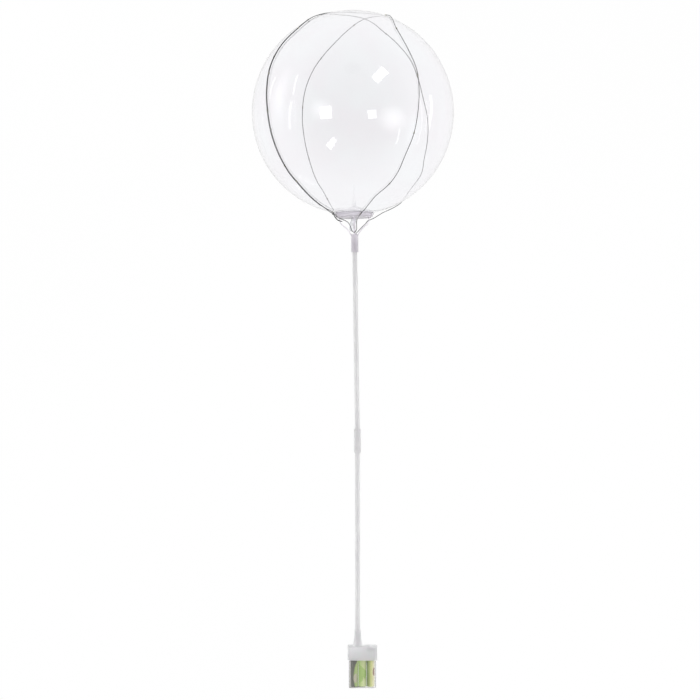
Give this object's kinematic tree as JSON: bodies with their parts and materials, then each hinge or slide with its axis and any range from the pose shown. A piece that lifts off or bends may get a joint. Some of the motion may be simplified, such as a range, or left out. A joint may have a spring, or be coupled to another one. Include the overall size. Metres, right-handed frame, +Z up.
{
  "type": "clear bubble balloon on a light-up stick",
  "caption": "Round clear balloon in a cup on a two-part clear stick, wound with a fine wire string of lights that runs down to a clear box with three cells.",
  "frame": {"origin": "middle of the small flat spot that the balloon rests on", "axes": "+Y from the battery box towards the balloon, along the floor; +Z up; +X to the right of someone who stands over it with the balloon farther away and looks down"},
  "size_m": [0.361, 1.198, 0.3593],
  "materials": {
    "clear_film": "thin clear stretchy film, glossy",
    "clear_plastic": "clear moulded plastic, slightly milky",
    "frosted_plastic": "frosted translucent plastic",
    "green_sleeve": "metallic green printed cell sleeve, blank",
    "spring_steel": "plated contact strip",
    "dark_plastic": "dark moulded switch",
    "silver_wire": "fine bright wire with clear resin drops"
  },
  "bodies": {
    "root": {"balloon_film": "clear_film", "balloon_cup": "clear_plastic", "upper_tube": "clear_plastic", "coupling_sleeve": "clear_plastic", "lower_tube": "clear_plastic", "battery_cap": "frosted_plastic", "battery_box": "clear_plastic", "battery_cell_1": "green_sleeve", "battery_cell_2": "green_sleeve", "battery_cell_3": "green_sleeve", "contact_plate_bridge": "spring_steel", "contact_plate_single": "spring_steel", "push_switch": "dark_plastic", "light_string": "silver_wire"}
  },
  "joints": []
}
